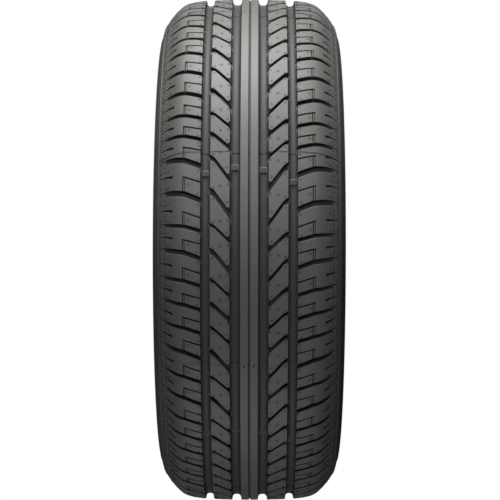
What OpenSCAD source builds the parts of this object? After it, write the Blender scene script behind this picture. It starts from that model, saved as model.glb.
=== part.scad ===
// Car tyre for a 16 inch rim, moulded in one piece.
// The spin axis is Z, the origin is the middle of the tyre, and the tread runs round it.
// Sizes are in millimetres and angles in degrees.
// "Across" is the distance from the middle of the tread along the axis.
// "Along" is the distance round the tread.

/* [Size] */
// Overall diameter over the middle of the tread
tyre_d = 611.4; // [596:0.2:640]
// Section width over the outsides of the two sidewalls
section_w = 214; // [208:1:224]
// Diameter of the bead seats, which is the diameter of the rim
rim_d = 405.6; // [396:0.2:412]
// Width of the rim, between the heels of the two beads
rim_w = 165.1; // [150:0.1:175]

/* [Tread contour] */
// Radius across the middle ribs
crown_r = 900; // [700:10:1400]
// Tilt of the tread where the crown radius ends
crown_tilt = 3.5; // [2.5:0.1:4]
// Radius across the shoulder ribs
rib_r = 90; // [70:1:110]
// Tilt of the tread where the shoulder rib ends
rib_tilt = 14.5; // [12:0.5:17]
// Radius of the rounded tread edge
edge_r = 27; // [20:1:30]
// Tilt where the rounded tread edge ends
edge_tilt = 42; // [38:1:45]
// Radius of the buttress below the tread edge
buttress_r = 90; // [70:1:100]
// Tilt where the buttress ends and the sidewall begins
buttress_tilt = 54; // [50:1:58]

/* [Sidewall and bead] */
// Thickness of the casing under the middle of the tread, pattern included
crown_gauge = 16; // [14:0.5:20]
// Thickness of the sidewall at its widest point
sidewall_gauge = 7.5; // [6:0.1:10]
// Radius across the inside of the crown
liner_crown_r = 1100; // [800:10:1500]
// Radius of the inside corner below the tread edge
liner_corner_r = 38; // [32:1:42]
// Radius of the inside of the lower sidewall
liner_lower_r = 20; // [14:1:24]
// Height of the rim protector above the bead seat
protector_h = 24.2; // [23:0.1:27]
// Radius of the edge of the rim protector
protector_r = 3; // [1.5:0.5:4]
// Height of the rim flange that the bead fits
flange_h = 17.5; // [15:0.1:19]
// Radius of the hollow that fits over the rim flange
flange_r = 9.5; // [8:0.1:11]
// Radius of the bead heel
heel_r = 6.5; // [4:0.1:7.5]
// Width of the bead from heel to toe
bead_w = 16.2; // [14:0.1:19]
// Length of the straight bead seat next to the heel
seat_l = 5; // [4:0.1:6.5]
// Drop of the toe below the bead seat
toe_drop = 1.8; // [1:0.1:3]

/* [Main grooves] */
// Distance of the two inner grooves from the middle
inner_groove_at = 15.5; // [14:0.1:17]
// Width of the two inner grooves at the tread surface
inner_groove_w = 11.2; // [9:0.1:12]
// Distance of the two outer grooves from the middle
outer_groove_at = 47.8; // [46:0.1:49]
// Width of the two outer grooves at the tread surface
outer_groove_w = 10.4; // [9:0.1:12]
// Depth of the main grooves
groove_depth = 6.9; // [6:0.1:8.5]
// Lean of the groove walls
groove_draft = 9; // [4:1:12]
// Radius at the bottom of the grooves
groove_fillet = 3.9; // [1:0.1:4.5]
// Width of the fine groove in the middle of the tread
centre_groove_w = 2.5; // [1.5:0.1:4]
// Depth of the fine groove in the middle of the tread
centre_groove_depth = 1.6; // [1:0.1:3]
// Number of wear bars in each main groove
wear_bars = 6; // [4:1:8]
// Height of the wear bars
wear_bar_h = 1.6; // [1:0.1:2.5]
// Length of the wear bars along the groove
wear_bar_l = 6; // [4:0.5:10]
// Angle of the first row of wear bars from the start of the first pitch
wear_bar_at = 24.6; // [0:0.1:60]

/* [Pitches] */
// Order of the short, medium and long pitches round the tread
pitch_order = "MSSSSSMSMSSSMSLLSSMMMSMMSMSSMMSLMSSSMMSMSMSSLMSMSSMMSLMSSMSMMSLM";
// Length of a medium pitch, as a multiple of a short one
medium_pitch = 1.28; // [1.1:0.01:1.4]
// Length of a long pitch, as a multiple of a short one
long_pitch = 1.49; // [1.4:0.01:1.7]
// How far the pattern of the upper half runs ahead of the lower half
half_shift = 10; // [0:0.5:15]

/* [Slots across the middle ribs] */
// Width of the narrow slots, as a share of their pitch
narrow_slot = 0.122; // [0.1:0.001:0.14]
// Width of the wide slots, as a share of their pitch
wide_slot = 0.176; // [0.15:0.001:0.19]
// Depth of the slots
slot_depth = 6.2; // [4:0.1:6.8]
// Where a slot starts at the inner groove, as a share of its pitch before the middle of the pitch
slot_start = 0.54; // [0.45:0.005:0.6]
// Where a slot bends, as a share of its pitch past the middle
slot_bend = 0.065; // [0:0.005:0.1]
// Where a slot ends at the outer groove, as a share of its pitch past the middle
slot_end = 0.155; // [0.1:0.005:0.2]
// Distance of the bend from the outer groove
slot_bend_in = 4.8; // [3:0.1:8]
// Distance of the tie bar in a wide slot from the inner groove
tie_bar_in = 1.7; // [1:0.1:4]
// Length of the tie bar across the rib
tie_bar_l = 10.7; // [6:0.1:12]
// Depth left over the tie bar
tie_bar_depth = 2.6; // [1.5:0.1:4]
// Width of the slit beside the tie bar
tie_bar_slit = 1.6; // [1:0.1:2]

/* [Grooves across the shoulder ribs] */
// Width of the shoulder grooves, as a share of their pitch
shoulder_groove_w = 0.133; // [0.1:0.001:0.15]
// Width that is left at the outer end of a shoulder groove, as a share of that width
shoulder_narrowing = 0.85; // [0.5:0.01:1]
// Where a shoulder groove starts, as a share of its pitch before the middle of the pitch
shoulder_groove_start = 0.115; // [0.08:0.005:0.15]
// Where it bends, as a share of its pitch past the middle
shoulder_groove_bend = 0.075; // [0.05:0.005:0.1]
// Where it ends, as a share of its pitch past the middle
shoulder_groove_end = 0.165; // [0.12:0.005:0.2]
// Distance of the bend from the outer main groove
shoulder_bend_in = 17; // [14:0.5:20]
// Depth of the shoulder grooves next to the outer main grooves
shoulder_depth = 6.4; // [4:0.1:7]
// Depth of the shoulder grooves where they bend
shoulder_bend_depth = 5.5; // [4:0.1:6.5]
// Depth of the shoulder grooves at their outer ends
shoulder_end_depth = 1; // [0.5:0.1:2]
// Where the shoulder grooves end, across the tread
shoulder_end = 91.4; // [89:0.1:91.5]

/* [Sipes and notches] */
// Width of the sipe from the outer groove
sipe_w = 0.9; // [0.6:0.1:1.4]
// Width of the leg of the sipe that turns back to the shoulder groove
sipe_leg_w = 1.2; // [0.8:0.1:1.6]
// Distance of the end of the sipe from the outer groove
sipe_l = 19; // [16:0.5:20]
// Depth of the sipe halfway along
sipe_depth = 4.2; // [3:0.1:5]
// How far a sipe runs on along the tread, as a share of its pitch
sipe_rise = 0.18; // [0.1:0.005:0.22]
// Share of that run that lies before the start of the pitch
sipe_before = 0.36; // [0.2:0.01:0.5]
// How much further on the sipe of a longer pitch lies, as a share of the extra length
sipe_lag = 0.19; // [0:0.01:0.3]
// Width of the notches at the tread edge
notch_w = 1.8; // [1.2:0.1:2.4]
// Length of the notches across the tread
notch_l = 7.4; // [5:0.1:9]
// Where a notch lies, as a share of its pitch past the start of the pitch
notch_place = 0.19; // [0.1:0.005:0.25]
// How far a notch runs on along the tread
notch_rise = 1.6; // [0:0.1:2.5]

/* [Shoulder bands] */
// Distance of the shallow line past the shoulder grooves from their ends
line_out = 1.3; // [1:0.1:2]
// Width of that line
line_w = 2.4; // [1.5:0.1:3]
// Depth of that line
line_depth = 0.5; // [0.3:0.1:0.8]
// Distance of the raised band from the widest point, across the tread
ridge_in = 6.3; // [5.5:0.1:7.5]
// Width of the raised band on the surface
ridge_w = 4.2; // [3:0.1:5]
// Height of the raised band
ridge_h = 0.5; // [0.3:0.1:0.8]

/* [Hidden] */
$fn = 180;
// How far a cutter reaches past the surface that it cuts
overcut = 3;
// How far a cutter of the pattern reaches outwards from its floor
cutter_l = 60;

// Points of an arc in [across, radius], from point p with heading a0 to heading a1.
// Heading 0 runs across the tread and 90 runs towards the axis.
function arc_points(p, r, a0, a1, n = 6) =
    [for (i = [1 : n])
        let (a = a0 + (a1 - a0) * i / n)
        p + r * [sin(a) - sin(a0), cos(a) - cos(a0)]];
function last(list) = list[len(list) - 1];
function reversed(list) = [for (i = [len(list) - 1 : -1 : 0]) list[i]];

tread_r = tyre_d / 2;
half_w = section_w / 2;
seat_r = rim_d / 2;

// Outside, from the middle of the tread to the widest point.
// The points on the crown lie in the main grooves, so that each rib is one smooth band.
function on_crown(across) = [across, tread_r - crown_r + sqrt(crown_r * crown_r - across * across)];
crown_end = [crown_r * sin(crown_tilt), tread_r - crown_r * (1 - cos(crown_tilt))];
crown = [for (x = [0, inner_groove_at, outer_groove_at]) on_crown(x)];
shoulder_rib = arc_points(crown_end, rib_r, crown_tilt, rib_tilt, 3);
tread_edge = arc_points(last(shoulder_rib), edge_r, rib_tilt, edge_tilt, 4);
buttress = arc_points(last(tread_edge), buttress_r, edge_tilt, buttress_tilt, 2);
sidewall_r = (half_w - last(buttress).x) / (1 - sin(buttress_tilt));
upper_wall = arc_points(last(buttress), sidewall_r, buttress_tilt, 90, 6);
upper_side = concat(crown, shoulder_rib, tread_edge, buttress, upper_wall);

// Outside, from the widest point to the toe
widest = last(upper_side);
protector_turn = 25;
lower_r = (widest.y - seat_r - protector_h) / sin(protector_turn);
lower_wall = arc_points(widest, lower_r, 90, 90 + protector_turn);
hollow_turn = 60;
protector = arc_points(last(lower_wall), protector_r, 90 + protector_turn, 90 + hollow_turn);
hollow_centre = [rim_w / 2 + flange_r, seat_r + flange_h - flange_r];
hollow_start = hollow_centre + flange_r * [-cos(hollow_turn), sin(hollow_turn)];
hollow = concat([hollow_start], arc_points(hollow_start, -flange_r, 90 + hollow_turn, 90));
heel_start = [rim_w / 2, seat_r + heel_r];
heel = concat([heel_start], arc_points(heel_start, heel_r, 90, 180));
toe = [rim_w / 2 - bead_w, seat_r - toe_drop];
seat_end = [last(heel).x - seat_l, seat_r];
lower_side = concat(lower_wall, protector, hollow, heel, [seat_end, toe]);

// Inside, from the middle of the liner to the toe
liner_w = half_w - sidewall_gauge;
liner_tilt = asin((liner_w - liner_corner_r) / (liner_crown_r - liner_corner_r));
liner_top = [0, tread_r - crown_gauge];
liner_crown = concat([liner_top], arc_points(liner_top, liner_crown_r, 0, liner_tilt));
liner_corner = arc_points(last(liner_crown), liner_corner_r, liner_tilt, 90);
liner_turn = 50;
liner_lower = arc_points(last(liner_corner), liner_lower_r, 90, 90 + liner_turn);
bead_lean = 15;
bead_inner_l = 11;
bead_corner_r = 15;
bead_inner = toe + bead_inner_l * [sin(bead_lean), cos(bead_lean)];
bead_corner = arc_points(bead_inner, -bead_corner_r, 90 + bead_lean, 90 + liner_turn);
bead_rise = [for (p = bead_corner) 2 * bead_inner - p];
inner_side = concat(liner_crown, liner_corner, liner_lower, reversed(bead_rise), [bead_inner]);

half_section = concat(upper_side, lower_side, reversed(inner_side));
other_half = [for (p = reversed(half_section)) if (p.x > 0) [-p.x, p.y]];
section_points = [for (p = concat(half_section, other_half)) [p.y, p.x]];

// Radius of the surface at a distance across from its middle, and its tilt there
function radius_at(across) = lookup(abs(across), upper_side);
function tilt_at(across) = atan2(radius_at(across - 1) - radius_at(across + 1), 2);

// Outline of a groove that is w wide at a surface of radius r, in [radius, across]
function groove_outline(r, at, w, depth, draft, fillet) =
    let (
        foot = w / 2 - depth * tan(draft),
        wall = (1 - sin(draft)) / cos(draft),
        round = min(fillet, (foot - 0.2) / wall),
        centre = foot - round * wall,
        side = concat(
            [[overcut, w / 2 + overcut * tan(draft)]],
            [for (i = [0 : 4])
                let (a = draft + (90 - draft) * i / 4)
                [round - depth - round * sin(a), centre + round * cos(a)]])
    )
    concat(
        [for (p = side) [r + p.x, at + p.y]],
        [for (p = reversed(side)) [r + p.x, at - p.y]]);

// Outline of a band round the shoulder, in [radius, across]. A height below 0 makes a recess.
function shoulder_band(at, w, h) =
    let (
        lean = tan(35),
        base = -sign(h) * overcut,
        tilt = tilt_at(at),
        side = [[w / 2 + overcut * lean, base], [w / 2 - abs(h) * lean, h]],
        outline = concat(side, [for (p = reversed(side)) [-p.x, p.y]])
    )
    [for (p = outline)
        [radius_at(at) - p.x * sin(tilt) + p.y * cos(tilt), at + p.x * cos(tilt) + p.y * sin(tilt)]];

module section() {
    difference() {
        polygon(section_points);
        for (side = [-1, 1]) {
            polygon(groove_outline(radius_at(inner_groove_at), side * inner_groove_at,
                inner_groove_w, groove_depth, groove_draft, groove_fillet));
            polygon(groove_outline(radius_at(outer_groove_at), side * outer_groove_at,
                outer_groove_w, groove_depth, groove_draft, groove_fillet));
            scale([1, side])
                polygon(shoulder_band(shoulder_end + line_out, line_w, -line_depth));
        }
        polygon(groove_outline(tread_r, 0, centre_groove_w, centre_groove_depth, 30, 0.3));
    }
    for (side = [-1, 1])
        scale([1, side])
            polygon(shoulder_band(half_w - ridge_in, ridge_w, ridge_h));
}

// Bar across a main groove, sunk a little into its floor and walls
module wear_bar(at, w) {
    r = radius_at(at) - groove_depth;
    sink = 0.6;
    wall = w / 2 - (groove_depth - wear_bar_h) * tan(groove_draft) + sink;
    turn = wear_bar_l / r * 180 / PI;
    rotate([0, 0, -turn / 2])
        rotate_extrude(angle = turn)
            polygon([[r - sink, at - wall], [r + wear_bar_h, at - wall],
                [r + wear_bar_h, at + wall], [r - sink, at + wall]]);
}

module all_wear_bars() {
    for (i = [0 : wear_bars - 1])
        rotate([0, 0, wear_bar_at + i * 360 / wear_bars])
            for (side = [-1, 1]) {
                wear_bar(side * inner_groove_at, inner_groove_w);
                wear_bar(side * outer_groove_at, outer_groove_w);
            }
}

// Pitches: share of each, where each starts, and the length of a share along the tread
function share(letter) = letter == "S" ? 1 : letter == "M" ? medium_pitch : long_pitch;
shares = [for (letter = pitch_order) share(letter)];
starts = [for (i = 0, sum = 0; i < len(shares); sum = sum + shares[i], i = i + 1) sum];
total = last(starts) + last(shares);
share_l = PI * tyre_d / total;
mean_l = PI * tyre_d / len(shares);
// The groove is in the middle of its pitch, and a little further on in a long pitch
function groove_share(i) = pitch_order[i] == "L" ? 0.59 : 0.5;
function pitch_l(i) = shares[i] * share_l;

// Prism with a flat floor and an outline in [across, along].
// The floor is at radius r where across is at, and sinks by tilt from there.
module prism(r, outline, at = 0, tilt = 0) {
    translate([r, 0, at])
        rotate([0, 90 + tilt, 0])
            linear_extrude(height = cutter_l)
                polygon([for (p = outline) [(at - p.x) / cos(tilt), p.y]]);
}

// Outline of a band along a path of [across, along, half of the width]
function band(path) = concat(
    [for (p = path) [p.x, p.y + p.z]],
    [for (p = reversed(path)) [p.x, p.y - p.z]]);

inner_edge = inner_groove_at + inner_groove_w / 2;
outer_edge = outer_groove_at - outer_groove_w / 2;
shoulder_start = outer_groove_at + outer_groove_w / 2;
// How far a slot reaches into the main groove at its mouth
reach = 2;

// Slot across the rib between two main grooves, with a tie bar in a wide one
module rib_slot(l, wide) {
    half = l * (wide ? wide_slot : narrow_slot) / 2;
    knee = outer_edge - slot_bend_in;
    rise = (slot_start + slot_bend) * l / (knee - inner_edge);
    end_rise = (slot_end - slot_bend) * l / slot_bend_in;
    path = [
        [inner_edge - reach, -slot_start * l - reach * rise, half],
        [knee, slot_bend * l, half],
        [outer_edge + reach, slot_end * l + reach * end_rise, half]];
    floor_r = radius_at(outer_edge) - slot_depth;
    if (wide) {
        bar_start = inner_edge + tie_bar_in;
        bar_end = bar_start + tie_bar_l;
        middle = function (x) -slot_start * l + rise * (x - inner_edge);
        difference() {
            prism(floor_r, band(path));
            translate([floor_r - 1, 0, 0])
                rotate([0, 90, 0])
                    linear_extrude(height = slot_depth - tie_bar_depth + 1)
                        polygon([
                            [-bar_start, middle(bar_start) - half - overcut],
                            [-bar_end, middle(bar_end) - half - overcut],
                            [-bar_end, middle(bar_end) + half - tie_bar_slit],
                            [-bar_start, middle(bar_start) + half - tie_bar_slit]]);
        }
    } else {
        prism(floor_r, band(path));
    }
}

// The floors at the tread edge slope down with it, from the bend of the shoulder grooves on.
shoulder_knee = shoulder_start + shoulder_bend_in;
slope_r = radius_at(shoulder_knee) - shoulder_bend_depth;
slope_tilt = atan(
    (slope_r - radius_at(shoulder_end) + shoulder_end_depth) / (shoulder_end - shoulder_knee));

// Groove across the shoulder rib, level at first and then sloping with the tread edge
module shoulder_groove(l) {
    half = l * shoulder_groove_w / 2;
    rise = (shoulder_groove_start + shoulder_groove_bend) * l / shoulder_bend_in;
    prism(radius_at(shoulder_start) - shoulder_depth, band([
        [shoulder_start - reach, -shoulder_groove_start * l - reach * rise, half],
        [shoulder_knee, shoulder_groove_bend * l, half]]));
    prism(slope_r, band([
        [shoulder_knee, shoulder_groove_bend * l, half],
        [shoulder_end, shoulder_groove_end * l, half * shoulder_narrowing]]),
        shoulder_knee, slope_tilt);
}

// Short notch at the tread edge, between two shoulder grooves, with its middle at along
module edge_notch(along) {
    half = notch_w / 2;
    prism(slope_r, band([
        [shoulder_end - notch_l, along - notch_rise / 2, half],
        [shoulder_end, along + notch_rise / 2, half * shoulder_narrowing]]),
        shoulder_knee, slope_tilt);
}

// Sipe from the outer groove. It turns a corner and runs back to the shoulder groove of length l.
module corner_sipe(l, along, rise) {
    half = sipe_w / 2;
    sipe_end = shoulder_start + sipe_l;
    leg = sipe_end - sipe_leg_w;
    foot = (shoulder_groove_bend + shoulder_groove_w / 4) * l;
    middle = function (x) along + rise * ((x - shoulder_start) / sipe_l - sipe_before);
    prism(radius_at(shoulder_start + sipe_l / 2) - sipe_depth, [
        [shoulder_start - reach, middle(shoulder_start - reach) - half],
        [leg, middle(leg) - half],
        [leg, foot],
        [sipe_end, foot],
        [sipe_end, middle(sipe_end) + half],
        [shoulder_start - reach, middle(shoulder_start - reach) + half]]);
}

module pattern_half(side) {
    shift = side > 0 ? half_shift / tread_r * 180 / PI : 0;
    for (i = [0 : len(shares) - 1]) {
        next_l = pitch_l((i + 1) % len(shares));
        next_start = pitch_l(i) * (1 - groove_share(i));
        wide = (i + (side > 0 ? 0 : 1)) % 2 == 0;
        rotate([0, 0, shift + (starts[i] + shares[i] * groove_share(i)) / total * 360])
            mirror([0, 0, side > 0 ? 0 : 1]) {
                rib_slot(pitch_l(i), wide);
                shoulder_groove(pitch_l(i));
                edge_notch(next_start + notch_place * next_l);
                corner_sipe(pitch_l(i), next_start + sipe_lag * (next_l - mean_l), sipe_rise * next_l);
            }
    }
}

module tyre() {
    color("#4b4a48")
        difference() {
            union() {
                rotate_extrude() section();
                all_wear_bars();
            }
            for (side = [-1, 1]) pattern_half(side);
        }
}

tyre();
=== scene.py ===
"""Car tyre with its tread pattern, seen straight on from the tread.

The spin axis is Z and the tyre lies on its lower sidewall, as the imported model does.
The code works in millimetres and turns them into metres where a mesh is made.
"Across" is the distance from the middle of the tread along the axis, the same on both halves.
"Along" is the distance round the tread.
"""

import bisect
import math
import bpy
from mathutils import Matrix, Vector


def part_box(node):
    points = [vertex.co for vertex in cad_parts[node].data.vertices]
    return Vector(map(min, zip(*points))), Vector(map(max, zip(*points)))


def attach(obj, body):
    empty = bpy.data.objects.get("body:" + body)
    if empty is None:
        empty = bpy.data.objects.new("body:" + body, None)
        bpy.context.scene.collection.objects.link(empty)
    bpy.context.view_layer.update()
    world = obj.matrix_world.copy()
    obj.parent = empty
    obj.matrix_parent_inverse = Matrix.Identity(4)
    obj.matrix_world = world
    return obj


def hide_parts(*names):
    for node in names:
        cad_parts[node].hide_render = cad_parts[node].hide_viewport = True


bl_info = {
    "name": "Car tyre",
    "version": (1, 0, 0),
    "blender": (4, 5, 0),
    "location": "3D View > Sidebar > Tyre",
    "description": "Builds a moulded car tyre with its tread pattern, and a plain studio around it",
    "category": "Mesh",
}

import bpy
from mathutils import Matrix, Vector

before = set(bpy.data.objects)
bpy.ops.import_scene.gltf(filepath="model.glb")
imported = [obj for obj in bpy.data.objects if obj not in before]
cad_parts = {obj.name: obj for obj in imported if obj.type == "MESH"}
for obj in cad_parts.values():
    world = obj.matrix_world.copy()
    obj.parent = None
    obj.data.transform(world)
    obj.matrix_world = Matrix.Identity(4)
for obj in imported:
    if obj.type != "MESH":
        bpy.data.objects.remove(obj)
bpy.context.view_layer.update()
tyre_low, tyre_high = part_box("tyre")

MM = 0.001
SIDES = (1, -1)
OUTER_R = 305.7
HALF_W = 107.0


class TyreShape(bpy.types.PropertyGroup):
    outer_r: bpy.props.FloatProperty(
        name="Outer radius", description="Radius over the middle of the tread",
        default=OUTER_R * MM, unit="LENGTH")
    half_w: bpy.props.FloatProperty(
        name="Half width", description="Half of the width over the two sidewalls",
        default=HALF_W * MM, unit="LENGTH")
    seat_r: bpy.props.FloatProperty(
        name="Bead seat radius", description="Radius of the rim that the beads sit on",
        default=0.2028, unit="LENGTH")
    rim_w: bpy.props.FloatProperty(
        name="Rim width", description="Distance between the heels of the two beads",
        default=0.1651, unit="LENGTH")
    groove_depth: bpy.props.FloatProperty(
        name="Groove depth", description="Depth of the four main grooves",
        default=0.0069, unit="LENGTH")
    edge: bpy.props.FloatProperty(
        name="Edge", description="Width of the small bevel on the edges of ribs and blocks",
        default=0.00035, unit="LENGTH")


class TreadPattern(bpy.types.PropertyGroup):
    medium: bpy.props.FloatProperty(
        name="Medium pitch", description="Length of a medium pitch as a multiple of a short one",
        default=1.25, min=1.0, max=2.0)
    long: bpy.props.FloatProperty(
        name="Long pitch", description="Length of a long pitch as a multiple of a short one",
        default=1.46, min=1.0, max=2.0)
    half_shift: bpy.props.FloatProperty(
        name="Half shift", description="How far the upper half of the pattern runs ahead",
        default=0.010, unit="LENGTH")
    slot_depth: bpy.props.FloatProperty(
        name="Slot depth", description="Depth of the slots across the middle ribs",
        default=0.0062, unit="LENGTH")
    bar_depth: bpy.props.FloatProperty(
        name="Tie bar depth", description="Depth left over the tie bars in the wide slots",
        default=0.0026, unit="LENGTH")
    shoulder_depth: bpy.props.FloatProperty(
        name="Shoulder groove depth", description="Depth of the shoulder grooves at their mouths",
        default=0.0064, unit="LENGTH")
    sipe_w: bpy.props.FloatProperty(
        name="Sipe width", description="Width of the fine sipes in the shoulder blocks",
        default=0.0017, unit="LENGTH")


class RubberFinish(bpy.types.PropertyGroup):
    colour: bpy.props.FloatVectorProperty(
        name="Rubber", description="Colour of the rubber", subtype="COLOR", size=3,
        default=(0.052, 0.050, 0.047), min=0, max=1)
    bloom: bpy.props.FloatVectorProperty(
        name="Bloom", description="Colour of the paler bloom on the rubber", subtype="COLOR",
        size=3, default=(0.066, 0.064, 0.060), min=0, max=1)
    # The hollow colour is painted shade: the rubber is mixed towards it where faces carry painted shade.
    hollow: bpy.props.FloatVectorProperty(
        name="Hollow", description="Colour of the rubber deep in the slots", subtype="COLOR",
        size=3, default=(0.008, 0.008, 0.008), min=0, max=1)
    roughness: bpy.props.FloatProperty(
        name="Roughness", description="Roughness of the rubber", default=0.62, min=0, max=1)


class StudioLight(bpy.types.PropertyGroup):
    top: bpy.props.FloatProperty(
        name="Top", description="Power of the lamp over the tyre", default=205.0, unit="POWER")
    front: bpy.props.FloatProperty(
        name="Front", description="Power of the lamp above the camera", default=50.0, unit="POWER")
    low: bpy.props.FloatProperty(
        name="Low", description="Power of the lamp below the camera", default=28.0, unit="POWER")
    world: bpy.props.FloatProperty(
        name="World", description="Strength of the light from all round", default=0.1)


def arc(p, r, a0, a1, n):
    """Points of an arc in (across, radius), from p with heading a0 to heading a1 in degrees."""
    points = []
    for i in range(1, n + 1):
        a = math.radians(a0 + (a1 - a0) * i / n)
        b = math.radians(a0)
        points.append((p[0] + r * (math.sin(a) - math.sin(b)), p[1] + r * (math.cos(a) - math.cos(b))))
    return points


def length(value):
    """A size from the panel, in millimetres."""
    return value / MM


# Arcs of the outside from the middle of the tread: radius, first and last heading in degrees, steps
CROWN_ARCS = ((900, 0, 3.5, 12), (90, 3.5, 14.5, 6), (27, 14.5, 42, 9), (90, 42, 54, 6))
WALL_STEPS = 12


class Contour:
    """The outside of half of the tyre, from the middle of the tread to the widest point."""

    def __init__(self, shape):
        self.tread_r = length(shape.outer_r)
        points = [(0, self.tread_r)]
        for r, start, end, steps in CROWN_ARCS:
            points += arc(points[-1], r, start, end, steps)
        heading = CROWN_ARCS[-1][2]
        wall_r = (length(shape.half_w) - points[-1][0]) / (1 - math.sin(math.radians(heading)))
        points += arc(points[-1], wall_r, heading, 90, WALL_STEPS)
        self.points = points
        self.across = [p[0] for p in points]
        self.arc = [0]
        for a, b in zip(points, points[1:]):
            self.arc.append(self.arc[-1] + math.dist(a, b))

    def radius(self, across):
        """Radius of the surface, before any groove, at a distance across."""
        across = min(abs(across), self.across[-1])
        i = min(max(bisect.bisect_left(self.across, across), 1), len(self.across) - 1)
        a, b = self.points[i - 1], self.points[i]
        return a[1] + (b[1] - a[1]) * (across - a[0]) / (b[0] - a[0])

    def at_arc(self, s):
        """Point on the surface at an arc length from the middle, and the outward normal there."""
        i = min(max(bisect.bisect_left(self.arc, s), 1), len(self.arc) - 1)
        a, b = self.points[i - 1], self.points[i]
        t = (s - self.arc[i - 1]) / (self.arc[i] - self.arc[i - 1])
        step = math.dist(a, b)
        normal = (-(b[1] - a[1]) / step, (b[0] - a[0]) / step)
        return (a[0] + (b[0] - a[0]) * t, a[1] + (b[1] - a[1]) * t), normal

    def raised(self, s, height):
        """Point at an arc length from the middle, at a height over the surface."""
        point, normal = self.at_arc(s)
        return (point[0] + normal[0] * height, point[1] + normal[1] * height)


# The four main grooves: middle and width, across, the walls' draft in degrees, the floor's fillet
INNER_AT, INNER_W = 15.5, 11.2
OUTER_AT, OUTER_W = 47.8, 10.4
DRAFT = 9
FILLET = 3.9
FILLET_STEPS = 5
# Half of the fine groove in the middle of the tread, as (across, depth), and its edge, across
CENTRE_GROOVE = ((0, 1.6), (0.55, 1.5), (1.15, 0.25))
CENTRE_EDGE = 1.45
# Bands round the shoulder: start, end and height of each, by arc length from the middle
BANDS = (
    (97.2, 98.2, -0.45), (99.3, 101.6, 0.2), (106.6, 107.6, -0.4), (109.6, 110.9, -0.45),
    (111.3, 115.6, 0.5), (116.2, 117.4, -0.5), (119.5, 128.5, -0.4))
BAND_SLOPE = 0.35
# A band wider than this has a point in its middle
BROAD_BAND = 3
# The contour's own points stay this far from a groove or the last band, and from the first band
POINT_GAP = 1
BAND_GAP = 0.3


def main_groove(contour, at, w, depth, edge):
    """Outline of a main groove from its inner edge to its outer edge."""
    foot = w / 2 - depth * math.tan(math.radians(DRAFT))
    draft = math.radians(DRAFT)
    centre = foot - FILLET * (1 - math.sin(draft)) / math.cos(draft)
    floor_r = contour.radius(at) - depth
    side = []
    for i in range(FILLET_STEPS + 1):
        a = math.radians(DRAFT + (90 - DRAFT) * i / FILLET_STEPS)
        side.append((centre + FILLET * math.cos(a), floor_r + FILLET * (1 - math.sin(a))))
    lip = w / 2
    near = [(at - lip - edge, contour.radius(at - lip - edge)), (at - lip, contour.radius(at - lip) - edge)]
    near += [(at - x, r) for x, r in side]
    far = [(at + x, r) for x, r in reversed(side)]
    far += [(at + lip, contour.radius(at + lip) - edge), (at + lip + edge, contour.radius(at + lip + edge))]
    return near + far


def tread_line(contour, depth, edge):
    """Half of the tread's outline, from the middle to the widest point, with grooves and bands."""
    line = [(x, contour.tread_r - down) for x, down in CENTRE_GROOVE]
    line.append((CENTRE_EDGE, contour.radius(CENTRE_EDGE)))
    grooves = [
        main_groove(contour, INNER_AT, INNER_W, depth, edge),
        main_groove(contour, OUTER_AT, OUTER_W, depth, edge),
    ]
    surface = [p for p in contour.points if p[0] > line[-1][0] + POINT_GAP]
    for groove in grooves:
        line += [p for p in surface if line[-1][0] + POINT_GAP < p[0] < groove[0][0] - POINT_GAP]
        line += groove
    first_band = contour.at_arc(BANDS[0][0])[0][0]
    line += [p for p in surface if line[-1][0] + POINT_GAP < p[0] < first_band - BAND_GAP]
    for start, end, height in BANDS:
        line.append(contour.raised(start, 0))
        line.append(contour.raised(start + BAND_SLOPE, height))
        if end - start > BROAD_BAND:
            line.append(contour.raised((start + end) / 2, height))
        line.append(contour.raised(end - BAND_SLOPE, height))
        line.append(contour.raised(end, 0))
    last_s = BANDS[-1][1]
    line += [p for p, s in zip(contour.points, contour.arc) if s > last_s + POINT_GAP]
    return line


def lower_line(contour, shape):
    """Outline of the lower sidewall and the outside of the bead, from the widest point to the toe."""
    seat_r = length(shape.seat_r)
    rim_half = length(shape.rim_w) / 2
    widest = contour.points[-1]
    wall_steps, corner_steps = 5, 6
    protector_h, protector_turn, protector_r = 24.2, 25, 3
    lower_r = (widest[1] - seat_r - protector_h) / math.sin(math.radians(protector_turn))
    wall = arc(widest, lower_r, 90, 90 + protector_turn, wall_steps)
    hollow_turn, hollow_r, flange_h = 60, 9.5, 17.5
    protector = arc(wall[-1], protector_r, 90 + protector_turn, 90 + hollow_turn, corner_steps)
    centre = (rim_half + hollow_r, seat_r + flange_h - hollow_r)
    turn = math.radians(hollow_turn)
    start = (centre[0] - hollow_r * math.cos(turn), centre[1] + hollow_r * math.sin(turn))
    hollow = [start] + arc(start, -hollow_r, 90 + hollow_turn, 90, corner_steps)
    heel_r, seat_l = 6.5, 5
    heel_start = (rim_half, seat_r + heel_r)
    heel = [heel_start] + arc(heel_start, heel_r, 90, 180, corner_steps)
    seat_end = (heel[-1][0] - seat_l, seat_r)
    bead_w, toe_drop = 16.2, 1.8
    toe = (rim_half - bead_w, seat_r - toe_drop)
    return wall + protector + hollow + heel + [seat_end, toe]


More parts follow.
